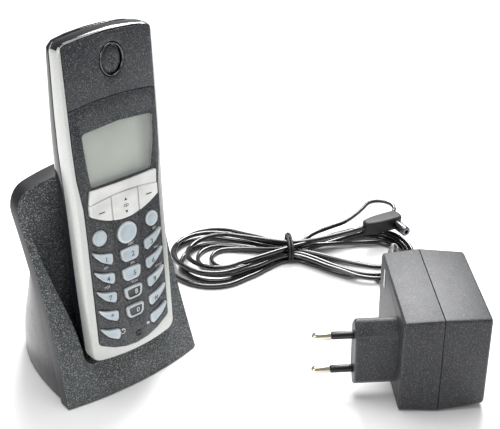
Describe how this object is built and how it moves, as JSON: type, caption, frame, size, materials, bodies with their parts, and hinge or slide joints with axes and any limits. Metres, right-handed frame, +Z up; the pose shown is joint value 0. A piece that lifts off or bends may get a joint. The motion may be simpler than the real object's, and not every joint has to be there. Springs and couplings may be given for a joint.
{
  "type": "cordless phone with base",
  "caption": "Cordless telephone handset standing in a leaning desk charging cradle, beside its plug-in mains adapter and a coiled, tied lead that ends in a right-angle plug.",
  "frame": {"origin": "on the desk under the middle of the cradle and handset together, measured without the adapter and its lead", "axes": "+Z up; the keypad faces -Y; +X is to the right of a person facing the keypad, where the adapter and lead lie"},
  "size_m": [0.2259, 0.195, 0.168],
  "materials": {
    "speckled_grey": "fine speckled texture, satin",
    "smooth_black": "smooth satin",
    "gloss_charcoal": "speckled, glossy",
    "gloss_black": "glossy",
    "silver_paint": "satin silver paint on plastic",
    "pearl_white": "pearl white, glossy",
    "ice_blue_key": "translucent pale blue, glossy",
    "chrome": "bright plated",
    "display_grey": "grey-green display",
    "clear_lens": "clear, glossy",
    "circuit_board": "green board",
    "black_rubber": "matt",
    "steel": "bare",
    "nickel_brass": "nickel-plated brass, bright",
    "adapter_charcoal": "fine spark-eroded texture",
    "copper_winding": "enamelled copper wire",
    "cell_wrap": "shrink wrap",
    "cord_black": "glossy black"
  },
  "bodies": {
    "cradle": {"cradle_face": "speckled_grey", "cradle_rear_shell": "smooth_black", "cradle_base_plate": "smooth_black", "non_slip_foot": "black_rubber", "ballast_weight": "steel", "dc_socket": "gloss_black", "cradle_circuit_board": "circuit_board", "charge_contact_left": "chrome", "charge_contact_right": "chrome", "adapter_front_case": "adapter_charcoal", "adapter_rear_case": "adapter_charcoal", "pin_upper": "nickel_brass", "pin_lower": "nickel_brass", "pin_sleeve_upper": "smooth_black", "pin_sleeve_lower": "smooth_black", "transformer_core": "steel", "transformer_winding": "copper_winding", "strain_relief": "black_rubber", "cord_adapter_run": "cord_black", "cord_hank": "cord_black", "cord_tie": "black_rubber", "cord_plug_run": "cord_black", "dc_plug_body": "black_rubber", "dc_plug_barrel": "chrome"},
    "handset": {"handset_silver_frame": "silver_paint", "handset_rear_shell": "gloss_charcoal", "battery_cover": "gloss_charcoal", "front_panel": "gloss_charcoal", "head_cover": "gloss_charcoal", "display_lens": "clear_lens", "lcd_module": "display_grey", "display_chin": "pearl_white", "earpiece_ring": "chrome", "earpiece_grille": "gloss_charcoal", "earpiece_speaker": "steel", "keypad_mat": "black_rubber", "main_circuit_board": "circuit_board", "battery_pack": "cell_wrap", "charge_pad_left": "chrome", "charge_pad_right": "chrome"},
    "soft_key_left_body": {"soft_key_left": "pearl_white"},
    "navigation_key_body": {"navigation_key": "pearl_white"},
    "soft_key_right_body": {"soft_key_right": "pearl_white"},
    "round_key_left_body": {"round_key_left": "ice_blue_key"},
    "round_key_centre_body": {"round_key_centre": "ice_blue_key"},
    "round_key_right_body": {"round_key_right": "ice_blue_key"},
    "key_1_body": {"key_1": "ice_blue_key"},
    "key_2_body": {"key_2": "ice_blue_key"},
    "key_3_body": {"key_3": "ice_blue_key"},
    "key_4_body": {"key_4": "ice_blue_key"},
    "key_5_body": {"key_5": "ice_blue_key"},
    "key_6_body": {"key_6": "ice_blue_key"},
    "key_7_body": {"key_7": "ice_blue_key"},
    "key_8_body": {"key_8": "ice_blue_key"},
    "key_9_body": {"key_9": "ice_blue_key"},
    "key_star_body": {"key_star": "ice_blue_key"},
    "key_0_body": {"key_0": "ice_blue_key"},
    "key_hash_body": {"key_hash": "ice_blue_key"},
    "key_power_body": {"key_power": "ice_blue_key"},
    "key_lock_body": {"key_lock": "ice_blue_key"}
  },
  "joints": [
    {"name": "handset_lift", "type": "slide", "parent": "cradle", "child": "handset", "axis": [0, 0.075, 0.9972], "range_m": [0, 0.12]},
    {"name": "soft_key_left_press", "type": "slide", "parent": "handset", "child": "soft_key_left_body", "axis": [0, 0.9972, -0.075], "range_m": [0, 0.0008], "stiffness_N_per_m": 400},
    {"name": "navigation_key_press", "type": "slide", "parent": "handset", "child": "navigation_key_body", "axis": [0, 0.9972, -0.075], "range_m": [0, 0.0008], "stiffness_N_per_m": 400},
    {"name": "soft_key_right_press", "type": "slide", "parent": "handset", "child": "soft_key_right_body", "axis": [0, 0.9972, -0.075], "range_m": [0, 0.0008], "stiffness_N_per_m": 400},
    {"name": "round_key_left_press", "type": "slide", "parent": "handset", "child": "round_key_left_body", "axis": [0, 0.9972, -0.075], "range_m": [0, 0.0008], "stiffness_N_per_m": 400},
    {"name": "round_key_centre_press", "type": "slide", "parent": "handset", "child": "round_key_centre_body", "axis": [0, 0.9972, -0.075], "range_m": [0, 0.0008], "stiffness_N_per_m": 400},
    {"name": "round_key_right_press", "type": "slide", "parent": "handset", "child": "round_key_right_body", "axis": [0, 0.9972, -0.075], "range_m": [0, 0.0008], "stiffness_N_per_m": 400},
    {"name": "key_1_press", "type": "slide", "parent": "handset", "child": "key_1_body", "axis": [0, 0.9972, -0.075], "range_m": [0, 0.0008], "stiffness_N_per_m": 400},
    {"name": "key_2_press", "type": "slide", "parent": "handset", "child": "key_2_body", "axis": [0, 0.9972, -0.075], "range_m": [0, 0.0008], "stiffness_N_per_m": 400},
    {"name": "key_3_press", "type": "slide", "parent": "handset", "child": "key_3_body", "axis": [0, 0.9972, -0.075], "range_m": [0, 0.0008], "stiffness_N_per_m": 400},
    {"name": "key_4_press", "type": "slide", "parent": "handset", "child": "key_4_body", "axis": [0, 0.9972, -0.075], "range_m": [0, 0.0008], "stiffness_N_per_m": 400},
    {"name": "key_5_press", "type": "slide", "parent": "handset", "child": "key_5_body", "axis": [0, 0.9972, -0.075], "range_m": [0, 0.0008], "stiffness_N_per_m": 400},
    {"name": "key_6_press", "type": "slide", "parent": "handset", "child": "key_6_body", "axis": [0, 0.9972, -0.075], "range_m": [0, 0.0008], "stiffness_N_per_m": 400},
    {"name": "key_7_press", "type": "slide", "parent": "handset", "child": "key_7_body", "axis": [0, 0.9972, -0.075], "range_m": [0, 0.0008], "stiffness_N_per_m": 400},
    {"name": "key_8_press", "type": "slide", "parent": "handset", "child": "key_8_body", "axis": [0, 0.9972, -0.075], "range_m": [0, 0.0008], "stiffness_N_per_m": 400},
    {"name": "key_9_press", "type": "slide", "parent": "handset", "child": "key_9_body", "axis": [0, 0.9972, -0.075], "range_m": [0, 0.0008], "stiffness_N_per_m": 400},
    {"name": "key_star_press", "type": "slide", "parent": "handset", "child": "key_star_body", "axis": [0, 0.9972, -0.075], "range_m": [0, 0.0008], "stiffness_N_per_m": 400},
    {"name": "key_0_press", "type": "slide", "parent": "handset", "child": "key_0_body", "axis": [0, 0.9972, -0.075], "range_m": [0, 0.0008], "stiffness_N_per_m": 400},
    {"name": "key_hash_press", "type": "slide", "parent": "handset", "child": "key_hash_body", "axis": [0, 0.9972, -0.075], "range_m": [0, 0.0008], "stiffness_N_per_m": 400},
    {"name": "key_power_press", "type": "slide", "parent": "handset", "child": "key_power_body", "axis": [0, 0.9972, -0.075], "range_m": [0, 0.0008], "stiffness_N_per_m": 400},
    {"name": "key_lock_press", "type": "slide", "parent": "handset", "child": "key_lock_body", "axis": [0, 0.9972, -0.075], "range_m": [0, 0.0008], "stiffness_N_per_m": 400}
  ]
}
